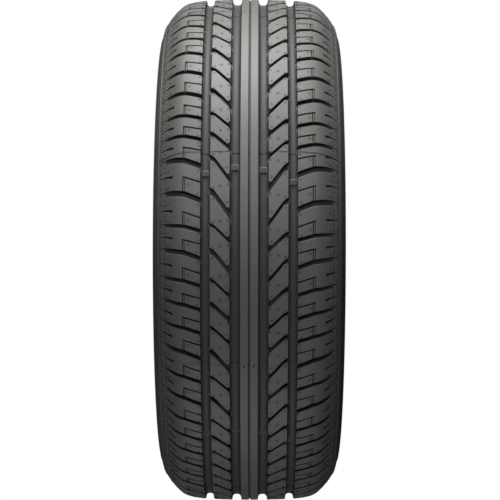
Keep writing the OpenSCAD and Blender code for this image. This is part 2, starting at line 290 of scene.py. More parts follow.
def inner_line(shape, toe):
    """Outline of the inside, from the toe to the middle of the liner."""
    sidewall_gauge, crown_gauge = 7.5, 16
    liner_w = length(shape.half_w) - sidewall_gauge
    crown_r, corner_r, lower_r, lower_turn = 1100, 38, 20, 50
    crown_steps, corner_steps, lower_steps, bead_steps = 3, 9, 5, 4
    tilt = math.degrees(math.asin((liner_w - corner_r) / (crown_r - corner_r)))
    top = (0, length(shape.outer_r) - crown_gauge)
    crown = [top] + arc(top, crown_r, 0, tilt, crown_steps)
    corner = arc(crown[-1], corner_r, tilt, 90, corner_steps)
    lower = arc(corner[-1], lower_r, 90, 90 + lower_turn, lower_steps)
    bead_lean, bead_l, bead_r = 15, 11, 15
    lean = math.radians(bead_lean)
    bead = (toe[0] + bead_l * math.sin(lean), toe[1] + bead_l * math.cos(lean))
    rise = arc(bead, -bead_r, 90 + bead_lean, 90 + lower_turn, bead_steps)
    rise = [(2 * bead[0] - x, 2 * bead[1] - r) for x, r in rise]
    return list(reversed(crown + corner + lower + list(reversed(rise)) + [bead]))


def half_section(shape, side):
    """Closed outline of half of the tyre wall, up to the middle plane, as (across, radius)."""
    contour = Contour(shape)
    tread = tread_line(contour, length(shape.groove_depth), length(shape.edge))
    lower = lower_line(contour, shape)
    half = tread + lower + inner_line(shape, lower[-1])
    return half if side > 0 else [(-x, r) for x, r in reversed(half)]


class Pieces:
    """Gathers points and faces in millimetres and makes one object of them."""

    def __init__(self):
        self.points = []
        self.faces = []

    def add(self, points, faces):
        base = len(self.points)
        self.points += points
        self.faces += [[base + i for i in face] for face in faces]

    def make(self, name):
        mesh = bpy.data.meshes.new(name)
        mesh.from_pydata([(x * MM, y * MM, z * MM) for x, y, z in self.points], [], self.faces)
        mesh.update()
        obj = bpy.data.objects.new(name, mesh)
        bpy.context.scene.collection.objects.link(obj)
        return obj


def polar(radius, angle, z):
    return (radius * math.cos(angle), radius * math.sin(angle), z)


def revolved(outline, steps):
    """A closed ring with the outline as its section."""
    pieces = Pieces()
    count = len(outline)
    points = []
    for k in range(steps):
        angle = 2 * math.pi * k / steps
        points += [polar(r, angle, x) for x, r in outline]
    faces = []
    for k in range(steps):
        here, there = k * count, (k + 1) % steps * count
        for i in range(count):
            j = (i + 1) % count
            faces.append([here + j, here + i, there + i, there + j])
    pieces.add(points, faces)
    return pieces


# Keeps a sharp corner from moving out too far
LEAST_SCALE = 0.35


def grown(outline, distance):
    """The outline moved outwards by a distance. It runs anticlockwise in (across, along)."""
    if distance == 0:
        return [(p[0], p[1]) for p in outline]
    result = []
    count = len(outline)
    for i in range(count):
        a, b, c = outline[i - 1], outline[i], outline[(i + 1) % count]
        u = (b[0] - a[0], b[1] - a[1])
        v = (c[0] - b[0], c[1] - b[1])
        lu, lv = math.hypot(*u), math.hypot(*v)
        n1 = (u[1] / lu, -u[0] / lu)
        n2 = (v[1] / lv, -v[0] / lv)
        mid = (n1[0] + n2[0], n1[1] + n2[1])
        scale = max((mid[0] ** 2 + mid[1] ** 2) / 2, LEAST_SCALE)
        result.append((b[0] + mid[0] * distance / scale, b[1] + mid[1] * distance / scale))
    return result


# How far cuts stand over the surface at their edges, and how far their tops lie over the tread
OVER = 0.4
CLEAR = 2


def sunk(pieces, contour, outline, rings, side, turn):
    """Adds a closed form that follows the tread. outline holds (across, along, depth).

    rings go from the floor outwards, each (how far the outline grows, share of the depth, lift).
    A lift of None is a level top, clear of the tread.
    """
    count = len(outline)
    points = []
    for grow, share, lift in rings:
        for (x, y), (_, _, depth) in zip(grown(outline, grow), outline):
            radius = contour.radius(x) - depth * share + (lift or 0)
            if lift is None:
                radius = contour.tread_r + CLEAR
            points.append(polar(radius, turn + y / contour.tread_r, side * x))
    half = count // 2
    top = (len(rings) - 1) * count
    faces = []
    for i in range(half - 1):
        faces.append([i, i + 1, count - 2 - i, count - 1 - i])
        faces.append([top + count - 1 - i, top + count - 2 - i, top + i + 1, top + i])
    if count % 2:
        faces.append([half - 1, half, half + 1])
        faces.append([top + half + 1, top + half, top + half - 1])
    for k in range(len(rings) - 1):
        for i in range(count):
            j = (i + 1) % count
            faces.append([k * count + j, k * count + i, (k + 1) * count + i, (k + 1) * count + j])
    if side < 0:
        faces = [list(reversed(face)) for face in faces]
    pieces.add(points, faces)


# How the corner of a floor is rounded: inwards and upwards, as shares of the rounding
FLOOR_ROUND = ((-0.75, 0), (-0.2, 0.25), (0, 1))
SLOT_ROUNDING = 0.7
SHOULDER_ROUNDING = 0.9


def plain_rings(edge):
    """Rings of a cut with straight walls and a small bevel at its top."""
    return ((0, 1, 0), (0, 0, -edge), (edge + OVER, 0, OVER), (edge + OVER, 0, None))


def wall_rings(edge, rounding):
    """Rings of a groove with a rounded floor and a small bevel at its top."""
    floor = [(inwards * rounding, 1, upwards * rounding) for inwards, upwards in FLOOR_ROUND]
    return (*floor, *plain_rings(edge)[1:])


# The order of short, medium and long pitches round the tyre
PITCH_ORDER = "MSSSSSMSMSSSMSLLSSMMMSMMSMSSMMSLMSSSMSSMSSSSLSSMSSSMSLMSSMSMMSLM"
# How far the whole pattern is turned round the axis, in degrees
PATTERN_TURN = -1.48
# Where the shoulder groove lies in a pitch
GROOVE_PLACE = {"S": 0.5, "M": 0.52, "L": 0.565}
# How far cuts reach into the main grooves, and where ribs and shoulder blocks end, across
REACH = 2.2
RIB_START = INNER_AT + INNER_W / 2
RIB_END = OUTER_AT - OUTER_W / 2
SHOULDER_START = OUTER_AT + OUTER_W / 2
SHOULDER_END = 91.4
# The small corner cut off below each mouth
CORNER = 1.3
# The tie bar in a wide slot: its ends, across, the step at them, and the cut that runs beside it
BAR_START = RIB_START + 1.7
BAR_END = RIB_START + 12.4
BAR_STEP = 0.1
BAR_SIPE = 1.6
# The slot's knee, across, and its middle at the knee, its fall before it and its rise after it,
# and half of its width, all as shares of the pitch
KNEE_W = 4.8
SLOT_KNEE = RIB_END - KNEE_W
SLOT_AT_KNEE, SLOT_FALL, SLOT_RISE = 0.065, 0.605, 0.09
WIDE_SLOT, NARROW_SLOT = 0.0975, 0.069
# The sipe's place in shares of its own pitch and the next, how far it lies back from there,
# its length, its rise as a share of the next pitch, and where on its length its place is
SIPE_OWN, SIPE_NEXT, SIPE_BACK = 0.355, 0.2, 3.2
SIPE_L = 19
SIPE_RISE = 0.18
SIPE_PIVOT = 0.36
# The notch's place in shares of its own pitch and the next
NOTCH_OWN, NOTCH_NEXT = 0.345, 0.3


class Pitch:
    """One pitch of the pattern on one half.

    Its slot and shoulder groove lie at turn. Its sipe and notch lie before the next groove.
    """

    def __init__(self, index, side, own, following, gap, turn):
        self.side = side
        self.own = own
        self.turn = turn
        self.wide = (index + (0 if side > 0 else 1)) % 2 == 0
        self.gap = gap
        self.sipe_at = SIPE_OWN * own + SIPE_NEXT * following - SIPE_BACK
        self.sipe_rise = SIPE_RISE * following
        self.notch_at = NOTCH_OWN * own + NOTCH_NEXT * following
        self.groove_end = SHOULDER_ALONG[-1] * own

    def slot_middle(self, x):
        if x < SLOT_KNEE:
            return (SLOT_AT_KNEE - SLOT_FALL * (SLOT_KNEE - x) / (SLOT_KNEE - RIB_START)) * self.own
        return (SLOT_AT_KNEE + SLOT_RISE * (x - SLOT_KNEE) / KNEE_W) * self.own

    def slot_half(self):
        return self.own * (WIDE_SLOT if self.wide else NARROW_SLOT)

    def slot_low(self, x):
        return self.slot_middle(x) - self.slot_half()

    def slot_high(self, x):
        return self.slot_middle(x) + self.slot_half()

    def sipe(self, x):
        return self.sipe_at + self.sipe_rise * ((x - SHOULDER_START) / SIPE_L - SIPE_PIVOT)


def slot_outline(pitch, depth, with_bar=False):
    """Outline of a slot across a middle rib. The corner below each mouth is cut off a little."""
    low, high = pitch.slot_low, pitch.slot_high
    slope = (low(RIB_START + CORNER) - low(RIB_START) + CORNER) / CORNER
    start = low(RIB_START) - CORNER
    lower = [
        (RIB_START - REACH, start - REACH * slope), (RIB_START, start),
        (RIB_START + CORNER, low(RIB_START + CORNER))]
    if with_bar:
        lower += [
            (BAR_START, low(BAR_START)), (BAR_START, high(BAR_START) - BAR_SIPE),
            (BAR_END, high(BAR_END) - BAR_SIPE), (BAR_END, low(BAR_END))]
    lower += [(x, low(x)) for x in (SLOT_KNEE, RIB_END, RIB_END + REACH)]
    upper = [(x, high(x)) for x in (RIB_END + REACH, RIB_END, SLOT_KNEE)]
    if with_bar:
        upper += [(x, high(x)) for x in (BAR_END + BAR_STEP, BAR_END, BAR_START, BAR_START - BAR_STEP)]
    upper += [(x, high(x)) for x in (RIB_START + CORNER, RIB_START, RIB_START - REACH)]
    return [(x, y, depth) for x, y in lower + upper]


# Wedges at the two mouths of a slot. Each point is given across from the mouth, across where the
# slot's side is taken, along from that side, and in depth.
INNER_WEDGE = (
    (-REACH, 0, -3, 5), (0.2, 0, -1.5, 4.2), (3.4, 3.4, -0.4, 0.4), (-0.2, 0, 5.2, 0.4),
    (-REACH, 0, 5.2, 1.5))
OUTER_WEDGE = (
    (REACH, 0, 1.5, 4.5), (-0.2, 0, 0.8, 3.4), (-3, -3, 0.3, 0.3), (0.2, 0, -3.4, 0.3),
    (REACH, 0, -3.4, 1))
WEDGE_RINGS = ((0, 1, 0), (0.4, 0, OVER), (0.4, 0, None))


def acute_corners(pitch):
    """Wedges cut off the pointed block corners at the two mouths of a slot."""
    inner = [(RIB_START + x, pitch.slot_high(RIB_START + at) + y, depth) for x, at, y, depth in INNER_WEDGE]
    outer = [(RIB_END + x, pitch.slot_low(RIB_END + at) + y, depth) for x, at, y, depth in OUTER_WEDGE]
    return inner, outer


# The shoulder groove at its mouth, knee, bend and end: across, the middle along the tread as shares
# of the pitch, and shares of the width and depth. At its end the depth is in millimetres.
SHOULDER_ACROSS = (SHOULDER_START, 70, 82, SHOULDER_END)
SHOULDER_ALONG = (-0.112, 0.075, 0.1255, 0.165)
SHOULDER_WIDTH = (1, 1, 0.95, 0.9)
SHOULDER_DEPTH = (1, 0.9, 0.65)
SHOULDER_END_DEPTH = 1.1
SHOULDER_STEP = 3
# Half of its width, as a share of the pitch and a length on top, and the slopes past its mouth
SHOULDER_HALF, SHOULDER_MORE = 0.08, 0.15
MOUTH_SLOPE, UPPER_SLOPE = 1.3, 0.36


def shoulder_outline(pitch, depth):
    """Outline of a shoulder groove, from the outer main groove to the shoulder line."""
    half = SHOULDER_HALF * pitch.own + SHOULDER_MORE
    depths = [depth * share for share in SHOULDER_DEPTH] + [SHOULDER_END_DEPTH]
    path = split([
        (x, along * pitch.own, half * width, d)
        for x, along, width, d in zip(SHOULDER_ACROSS, SHOULDER_ALONG, SHOULDER_WIDTH, depths)],
        SHOULDER_STEP)
    first = path[0]
    lower = [
        (first[0] - REACH, first[1] - half - CORNER - REACH * MOUTH_SLOPE, depth),
        (first[0], first[1] - half - CORNER, depth),
        (first[0] + CORNER, first[1] - half + CORNER * UPPER_SLOPE, depth)]
    lower += [(x, y - h, d) for x, y, h, d in path[1:]]
    upper = [(x, y + h, d) for x, y, h, d in reversed(path)]
    upper.insert(-1, (first[0] + CORNER, first[1] + half + CORNER * UPPER_SLOPE, depth))
    upper.append((first[0] - REACH, first[1] + half - REACH * UPPER_SLOPE, depth))
    return lower + upper


# Path of the notch between two shoulder grooves: across, along, half of the width, depth
NOTCH = ((83.5, -0.9, 1.0, 3.6), (84.3, -0.8, 1.4, 3.6), (SHOULDER_END, 0.7, 0.9, 1.4))
NOTCH_STEP = 2.4
# Path of the shallow trace past the end of a groove or notch, in the same order
TRACE = ((91.2, 0, 0.75, 1.6), (94, 0.25, 0.675, 1.4), (98, 0.5, 0.375, 1))
# How far along the tread the trace lies from the middle of the groove and of the notch
GROOVE_TRACE, NOTCH_TRACE = 1.2, 0.5


def notch_outline(pitch):
    """Short notch between two shoulder grooves, thick and blunt at its inner end."""
    return band_outline(split([(x, pitch.notch_at + y, h, d) for x, y, h, d in NOTCH], NOTCH_STEP))


def trace_outline(along):
    """Shallow trace that runs out to a point past the end of a groove or notch."""
    return band_outline([(x, along + y, h, d) for x, y, h, d in TRACE])


def split(path, step):
    """The same path with more points, so that a cut follows the curve of the tread."""
    result = [path[0]]
    for a, b in zip(path, path[1:]):
        parts = math.ceil((b[0] - a[0]) / step)
        for k in range(1, parts + 1):
            result.append(tuple(u + (v - u) * k / parts for u, v in zip(a, b)))
    return result


def band_outline(path):
    """Outline of a band along a path of (across, along, half of the width, depth)."""
    lower = [(x, y - h, d) for x, y, h, d in path]
    return lower + [(x, y + h, d) for x, y, h, d in reversed(path)]


def pitches(pattern, tread_r):
    """Every pitch on both halves."""
    order = PITCH_ORDER
    share = {"S": 1, "M": pattern.medium, "L": pattern.long}
    shares = [share[letter] for letter in order]
    total = sum(shares)
    unit = 2 * math.pi * tread_r / total
    starts = [sum(shares[:i]) for i in range(len(shares))]
    result = []
    for side in SIDES:
        shift = length(pattern.half_shift) / tread_r if side > 0 else 0
        for i, (own, letter) in enumerate(zip(shares, order)):
            place = GROOVE_PLACE[letter]
            turn = (starts[i] + own * place) / total * 2 * math.pi + shift + math.radians(PATTERN_TURN)
            after = (i + 1) % len(order)
            gap = (own * (1 - place) + shares[after] * GROOVE_PLACE[order[after]]) * unit
            result.append(Pitch(i, side, own * unit, shares[after] * unit, gap, turn))
    return result


def combine(target, tool, operation):
    """Joins the tool to the target or cuts it away, and removes the tool."""
    modifier = target.modifiers.new(operation.lower(), "BOOLEAN")
    modifier.object = tool
    modifier.operation = operation
    modifier.solver = "MANIFOLD"
    graph = bpy.context.evaluated_depsgraph_get()
    mesh = bpy.data.meshes.new_from_object(target.evaluated_get(graph))
    target.modifiers.clear()
    old = target.data
    target.data = mesh
    mesh.name = target.name
    bpy.data.meshes.remove(old)
    old = tool.data
    bpy.data.objects.remove(tool)
    bpy.data.meshes.remove(old)


# Edges sharper than this stay sharp, in degrees, on the tyre and on its vent marks
SHARP_ANGLE = 28
VENT_SHARP_ANGLE = 60


def smooth(obj, degrees):
    """Shades a piece smooth up to an angle between its faces."""
    obj.data.shade_smooth()
    obj.data.set_sharp_from_angle(angle=math.radians(degrees))


# How much painted shade a surface gets, from 0 on the open tread to 1 deep in a slot
WALL_SHADE, LINE_SHADE, GROOVE_SHADE, DEEPEST_SHADE = 0.5, 0.7, 0.58, 0.8
# Where the sidewall's painted shade starts, and the two fine lines round the shoulder, across
WALL_START = 98.6
FINE_LINES = ((91.5, 92.3), (97.2, 98))
# Depths that a fine line lies between
LINE_DEPTHS = (0.1, 1)
# The depth where painted shade in a cut starts, how much deeper it is darkest, and where the inside starts
OPEN_DEPTH, DARK_DEPTH, INSIDE_DEPTH = 0.25, 1.5, 9
# How far past its edges a main groove gets painted shade, and half of the middle groove with its edges
GROOVE_EDGE, CENTRE_HALF = 0.4, 2


def painted_shade_at(across, depth):
    """How much painted shade the surface gets at a distance across and a depth below the tread."""
    # The sidewall past the shoulder gets a level painted shade, as it takes less light.
    if across > WALL_START:
        return WALL_SHADE
    # The two fine lines round the shoulder get painted shade, so that they show as dark lines.
    if LINE_DEPTHS[0] < depth < LINE_DEPTHS[1]:
        if any(start < across < end for start, end in FINE_LINES):
            return LINE_SHADE
    if depth < OPEN_DEPTH or depth > INSIDE_DEPTH:
        return 0
    # The main grooves and the middle groove get a level painted shade.
    for at, w in ((INNER_AT, INNER_W), (OUTER_AT, OUTER_W)):
        if abs(across - at) < w / 2 + GROOVE_EDGE:
            return GROOVE_SHADE
    if across < CENTRE_HALF:
        return GROOVE_SHADE
    # Other cuts get painted shade that deepens with their depth.
    return min(DEEPEST_SHADE, (depth - OPEN_DEPTH) / DARK_DEPTH)


def paint_shade(obj, contour):
    """Stores on each face how much painted shade it gets."""
    attribute = obj.data.attributes.new("recess", "FLOAT", "FACE")
    for face, item in zip(obj.data.polygons, attribute.data):
        across = abs(length(face.center.z))
        depth = contour.radius(across) - length(math.hypot(face.center.x, face.center.y))
        item.value = painted_shade_at(across, depth)


def add_noise(nodes, links, coordinates, scale, detail, roughness):
    """A noise that is fixed to the piece."""
    noise = nodes.new("ShaderNodeTexNoise")
    noise.inputs["Scale"].default_value = scale
    noise.inputs["Detail"].default_value = detail
    noise.inputs["Roughness"].default_value = roughness
    links.new(coordinates.outputs["Object"], noise.inputs["Vector"])
    return noise


def rubber(finish):
    """Matte moulded rubber: a fine grain, a faint bloom and soft blotches, with painted shade that darkens
    the colour and weakens the reflection where faces carry it.
    """
    material = bpy.data.materials.get("moulded_rubber")
    if material:
        return material
    material = bpy.data.materials.new("moulded_rubber")
    material.use_nodes = True
    nodes, links = material.node_tree.nodes, material.node_tree.links
    shader = nodes["Principled BSDF"]
    coordinates = nodes.new("ShaderNodeTexCoord")
    blotches = add_noise(nodes, links, coordinates, scale=34, detail=5, roughness=0.6)
    mix = nodes.new("ShaderNodeMix")
    mix.data_type = "RGBA"
    mix.inputs["A"].default_value = (*finish.colour, 1)
    mix.inputs["B"].default_value = (*finish.bloom, 1)
    links.new(blotches.outputs["Fac"], mix.inputs["Factor"])
    # Painted shade: the colour is mixed towards the hollow colour by the painted shade stored on each face.
    recess = nodes.new("ShaderNodeAttribute")
    recess.attribute_name = "recess"
    dark = nodes.new("ShaderNodeMix")
    dark.data_type = "RGBA"
    dark.inputs["B"].default_value = (*finish.hollow, 1)
    links.new(mix.outputs["Result"], dark.inputs["A"])
    links.new(recess.outputs["Fac"], dark.inputs["Factor"])
    links.new(dark.outputs["Result"], shader.inputs["Base Color"])
    # Painted shade in the reflection: the specular level falls from 0.5 to 0.08 as the painted shade grows.
    shaded_specular = nodes.new("ShaderNodeMapRange")
    shaded_specular.inputs["To Min"].default_value = 0.5
    shaded_specular.inputs["To Max"].default_value = 0.08
    links.new(recess.outputs["Fac"], shaded_specular.inputs["Value"])
    links.new(shaded_specular.outputs["Result"], shader.inputs["Specular IOR Level"])
    grain = add_noise(nodes, links, coordinates, scale=1400, detail=3, roughness=0.7)
    waves = add_noise(nodes, links, coordinates, scale=160, detail=3, roughness=0.5)
    fine = nodes.new("ShaderNodeBump")
    fine.inputs["Strength"].default_value = 0.22
    fine.inputs["Distance"].default_value = 0.00012
    links.new(grain.outputs["Fac"], fine.inputs["Height"])
    coarse = nodes.new("ShaderNodeBump")
    coarse.inputs["Strength"].default_value = 0.2
    coarse.inputs["Distance"].default_value = 0.0002
    links.new(waves.outputs["Fac"], coarse.inputs["Height"])
    links.new(fine.outputs["Normal"], coarse.inputs["Normal"])
    links.new(coarse.outputs["Normal"], shader.inputs["Normal"])
    shader.inputs["Roughness"].default_value = finish.roughness
    return material


def finish_piece(obj, context, degrees):
    """Gives a piece its rubber and fixes it to the tyre."""
    smooth(obj, degrees)
    obj.data.materials.clear()
    obj.data.materials.append(rubber(context.scene.rubber_finish))
    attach(obj, "root")


# Wear bars: how many, where the first lies in degrees, height, half of the length, and how far those
# on the upper and lower half lie from there along the tread, in the inner and the outer groove
WEAR_BARS = 6
WEAR_BAR_AT = 24.6
WEAR_BAR_H = 1.6
WEAR_BAR_HALF = 3
WEAR_BAR_SHIFTS = ((5.5, 2.5), (-1.5, -11.2))
# Rings of a wear bar, as (how far it grows, height over the floor plus 1)
WEAR_BAR_RINGS = ((2.2, 0), (1.2, 1.3), (0.3, 2.2), (-0.4, 1 + WEAR_BAR_H))
# How far a wear bar reaches into the walls of its groove
WEAR_BAR_REACH = 0.5


def wear_bars(pieces, contour, depth, side):
    """Low bars across the floor of the main grooves, with sloping ends."""
    rings = [(grow, 1, height - depth) for grow, height in WEAR_BAR_RINGS]
    for i in range(WEAR_BARS):
        turn = math.radians(WEAR_BAR_AT + i * 360 / WEAR_BARS)
        for at, w, shifts in zip((INNER_AT, OUTER_AT), (INNER_W, OUTER_W), WEAR_BAR_SHIFTS):
            half = w / 2 - (depth - WEAR_BAR_H) * math.tan(math.radians(DRAFT)) + WEAR_BAR_REACH
            outline = [
                (at - half, -WEAR_BAR_HALF, 1), (at + half, -WEAR_BAR_HALF, 1),
                (at + half, WEAR_BAR_HALF, 1), (at - half, WEAR_BAR_HALF, 1)]
            shift = shifts[SIDES.index(side)]
            sunk(pieces, contour, outline, rings, side, turn + shift / contour.tread_r)


# The lines where the mould's segments met: how many, where the first lies in degrees, and where they
# end, across. Then their height, how far they reach down and half of their width there and on top.
SEGMENTS = 8
FIRST_SEGMENT = 88.9
SEGMENT_LINE_END = 101
SEGMENT_LINE_H = 0.5
SEGMENT_LINE_BASE = 0.5
SEGMENT_LINE_TOP = 0.2
# How far the lines stay inside the tyre's overall radius
BOX_GAP = 0.02


def mould_lines(pieces, tread, side):
    """Fine raised lines across ribs and grooves, where the segments of the mould met."""
    line = [p for p in tread if p[0] < SEGMENT_LINE_END]
    highest = length(tyre_high[0]) - BOX_GAP
    raised, buried = [], []
    for i, (x, r) in enumerate(line):
        a, b = line[max(i - 1, 0)], line[min(i + 1, len(line) - 1)]
        step = math.dist(a, b)
        normal = (-(b[1] - a[1]) / step, (b[0] - a[0]) / step)
        top = (x + normal[0] * SEGMENT_LINE_H, r + normal[1] * SEGMENT_LINE_H)
        raised.append((max(top[0], 0), min(top[1], highest)))
        foot = (x - normal[0] * SEGMENT_LINE_BASE, r - normal[1] * SEGMENT_LINE_BASE)
        buried.append((max(foot[0], 0), foot[1]))
    count = len(line)
    for k in range(SEGMENTS):
        turn = math.radians(FIRST_SEGMENT + k * 360 / SEGMENTS)
        points = []
        for rail, half in ((buried, SEGMENT_LINE_BASE), (raised, SEGMENT_LINE_TOP)):
            for sign in (-1, 1):
                points += [polar(r, turn + sign * half / r, side * x) for x, r in rail]
        faces = []
        for i in range(count - 1):
            j = i + 1
            faces.append([i, j, count + j, count + i])
            faces.append([count + i, count + j, 3 * count + j, 3 * count + i])
            faces.append([3 * count + i, 3 * count + j, 2 * count + j, 2 * count + i])
            faces.append([2 * count + i, 2 * count + j, j, i])
        faces.append([0, count, 3 * count, 2 * count])
        faces.append([count - 1, 3 * count - 1, 4 * count - 1, 2 * count - 1])
        if side > 0:
            faces = [list(reversed(face)) for face in faces]
        pieces.add(points, faces)


# The tyre is made of two closed halves that meet at the middle plane
HALVES = {1: "upper_half", -1: "lower_half"}
# Steps of the ring round the axis
RING_STEPS = 300


class TYRE_OT_body(bpy.types.Operator):
    """Builds the tyre wall with its main grooves, wear bars and mould lines"""

    bl_idname = "tyre.body"
    bl_label = "Tyre body"

    def execute(self, context):
        shape = context.scene.tyre_shape
        contour = Contour(shape)
        depth = length(shape.groove_depth)
        for side, name in HALVES.items():
            body = revolved(half_section(shape, side), RING_STEPS).make(name)
            raised = Pieces()
            wear_bars(raised, contour, depth, side)
            mould_lines(raised, tread_line(contour, depth, length(shape.edge)), side)
            combine(body, raised.make("raised"), "UNION")
            finish_piece(body, context, SHARP_ANGLE)
            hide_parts("tyre")
        return {"FINISHED"}


# The sipe's depth at its mouth and end, the step of its path and its bevel
SIPE_DEPTH, SIPE_END_DEPTH = 4.5, 3.5
SIPE_STEP = 6
SIPE_BEVEL = 0.15
TRACE_BEVEL = 0.1
# The two fine cuts that run back from the corner of a sipe, by side: start and end across, and depth
STRIP_END = 72.6
STRIPS = {1: ((71.5, STRIP_END, 3), (69.8, 70.5, 1.6)), -1: ((69, 70.1, 3), (71.4, 72.1, 1.6))}
STRIP_BEVEL = 0.05
# They start inside the shoulder groove: a share of the pitch past its middle, less a length
STRIP_FOOT, STRIP_OVERLAP = 0.0665, 1
# Pits in two rows beside the shoulder line: across and half of the width. Between two cuts there are
# two pits in each row, at these shares of the way.
PITS = ((92.4, 0.8), (97.9, 0.6))
PIT_SHARES = (1 / 3, 2 / 3)
PIT_SHIFT = 0.4
PIT_DEPTH = 1.6
PIT_RINGS = ((-0.2, 1, 0), (0, 0, 0.3))


def strip_outline(pitch, start, end, depth):
    """Fine cut from the shoulder groove to the end of the sipe."""
    foot = SHOULDER_ALONG[1] * pitch.own + pitch.own * STRIP_FOOT - STRIP_OVERLAP
    return [
        (start, foot, depth), (end, foot, depth), (end, pitch.sipe(end), depth),
        (start, pitch.sipe(start), depth)]


def square_outline(x, y, half, depth):
    return [
        (x - half, y - half, depth), (x + half, y - half, depth), (x + half, y + half, depth),
        (x - half, y + half, depth)]


def cut_pitch(pitch, contour, shape, pattern, cuts):
    """Adds the wide, deep and fine cuts of one pitch."""
    wide, deep, fine = cuts
    edge = length(shape.edge)
    slot_depth, bar_depth = length(pattern.slot_depth), length(pattern.bar_depth)
    sipe = length(pattern.sipe_w) / 2
    place = (pitch.side, pitch.turn)
    outline = slot_outline(pitch, bar_depth if pitch.wide else slot_depth)
    sunk(wide, contour, outline, wall_rings(edge, SLOT_ROUNDING), *place)
    outline = shoulder_outline(pitch, length(pattern.shoulder_depth))
    sunk(wide, contour, outline, wall_rings(edge, SHOULDER_ROUNDING), *place)
    sunk(wide, contour, notch_outline(pitch), plain_rings(edge), *place)
    if pitch.wide:
        outline = slot_outline(pitch, slot_depth, True)
        sunk(deep, contour, outline, plain_rings(edge), *place)
    path = split([
        (SHOULDER_START - REACH, pitch.sipe(SHOULDER_START - REACH), sipe, SIPE_DEPTH),
        (STRIP_END, pitch.sipe(STRIP_END), sipe, SIPE_END_DEPTH)], SIPE_STEP)
    sunk(deep, contour, band_outline(path), plain_rings(SIPE_BEVEL), *place)
    for along in (pitch.groove_end + GROOVE_TRACE, pitch.notch_at + NOTCH_TRACE):
        sunk(deep, contour, trace_outline(along), plain_rings(TRACE_BEVEL), *place)
    for outline in acute_corners(pitch):
        sunk(fine, contour, outline, WEDGE_RINGS, *place)
    for strip in STRIPS[pitch.side]:
        sunk(fine, contour, strip_outline(pitch, *strip), plain_rings(STRIP_BEVEL), *place)
    stops = [pitch.groove_end, pitch.notch_at, pitch.groove_end + pitch.gap]
    for start, end in zip(stops, stops[1:]):
        for share in PIT_SHARES:
            along = start + (end - start) * share + PIT_SHIFT
            for x, half in PITS:
                sunk(fine, contour, square_outline(x, along, half, PIT_DEPTH), PIT_RINGS, *place)


class TYRE_OT_tread(bpy.types.Operator):
    """Cuts the slots, shoulder grooves, notches and sipes into the tread"""

    bl_idname = "tyre.tread"
    bl_label = "Tread pattern"

    def execute(self, context):
        shape, pattern = context.scene.tyre_shape, context.scene.tread_pattern
        contour = Contour(shape)
        for side, name in HALVES.items():
            cuts = (Pieces(), Pieces(), Pieces())
            for pitch in pitches(pattern, contour.tread_r):
                if pitch.side == side:
                    cut_pitch(pitch, contour, shape, pattern, cuts)
            body = bpy.data.objects[name]
            for pieces in cuts:
                combine(body, pieces.make("cuts"), "DIFFERENCE")
            smooth(body, SHARP_ANGLE)
            paint_shade(body, contour)
        return {"FINISHED"}


# Vent marks of one pitch, as (across, along on a medium pitch, size)
VENTS = (
    (23, 11, 1), (31.5, 10, 1.15), (39.3, -2.6, 0.9), (39.3, 8, 1), (24.2, -5.5, 1), (55.6, -8.2, 1),
    (56.5, 2.6, 0.9), (66.2, 11.6, 1), (55.4, 16.6, 0.9), (88.5, 10.5, 1), (88.5, -5.5, 0.9),
    (96.4, 4.5, 0.7), (96.4, 12.5, 0.7), (96.4, -4.5, 0.7))
MEDIUM_L = 33.1
# Section of the ring of a vent mark: radius for a size of 1, and height over the surface
VENT_RING = ((1.4, -0.2), (1.3, 0.16), (0.85, 0.16), (0.75, -0.2))
VENT_STEPS = 10


def vent_mark(pieces, contour, x0, y0, size, side, turn):
    """A low ring where a vent of the mould was."""
    points = []
    for k in range(VENT_STEPS):
        a = 2 * math.pi * k / VENT_STEPS
        for spread, height in VENT_RING:
            x = x0 + spread * size * math.cos(a)
            y = y0 + spread * size * math.sin(a)
            points.append(polar(contour.radius(x) + height, turn + y / contour.tread_r, side * x))
    faces = []
    count = len(VENT_RING)
    for k in range(VENT_STEPS):
        here, there = k * count, (k + 1) % VENT_STEPS * count
        for i in range(count):
            j = (i + 1) % count
            face = [here + i, here + j, there + j, there + i]
            faces.append(face if side > 0 else face[::-1])
    pieces.add(points, faces)


class TYRE_OT_vents(bpy.types.Operator):
    """Adds the small ring marks that the vents of the mould left on the blocks"""

    bl_idname = "tyre.vents"
    bl_label = "Vent marks"

    def execute(self, context):
        contour = Contour(context.scene.tyre_shape)
        marks = Pieces()
        for pitch in pitches(context.scene.tread_pattern, contour.tread_r):
            for x, y, size in VENTS:
                vent_mark(marks, contour, x, y * pitch.own / MEDIUM_L, size, pitch.side, pitch.turn)
        marks = marks.make("vent_marks")
        # The vent marks carry the darkest painted shade all over, so that they show as dark rings.
        attribute = marks.data.attributes.new("recess", "FLOAT", "FACE")
        attribute.data.foreach_set("value", [DEEPEST_SHADE] * len(marks.data.polygons))
        finish_piece(marks, context, VENT_SHARP_ANGLE)
        return {"FINISHED"}


# The camera: its place round the axis, tilt and roll in degrees, and its distance in tyre radii
CAMERA_AZIMUTH = 68.31
CAMERA_TILT = -0.22
CAMERA_ROLL = 0.09
CAMERA_RADII = 8
LENS = 142.9
SENSOR = 36
# The farthest that the camera sees, in metres
CLIP_END = 50
# Width of the picture and the tyre's middle in it, in pixels
PICTURE = 500
CENTRE = (250.15, 249.7)
# Half of the floor's width and how far the floor lies below the tyre
FLOOR_HALF, FLOOR_GAP = 6000, 0.05
FLOOR_COLOUR = (0.45, 0.45, 0.45, 1)
FLOOR_ROUGHNESS = 0.8
WHITE = (1, 1, 1, 1)
# Places of the lamps, as metres up and towards the camera from the tyre's middle, and their size
TOP_PLACE = (2.37, 0.38)
FRONT_PLACE = (1.01, 2.18)
LOW_PLACE = (-2.28, 0.74)
LAMP_SIZE = (1, 1)


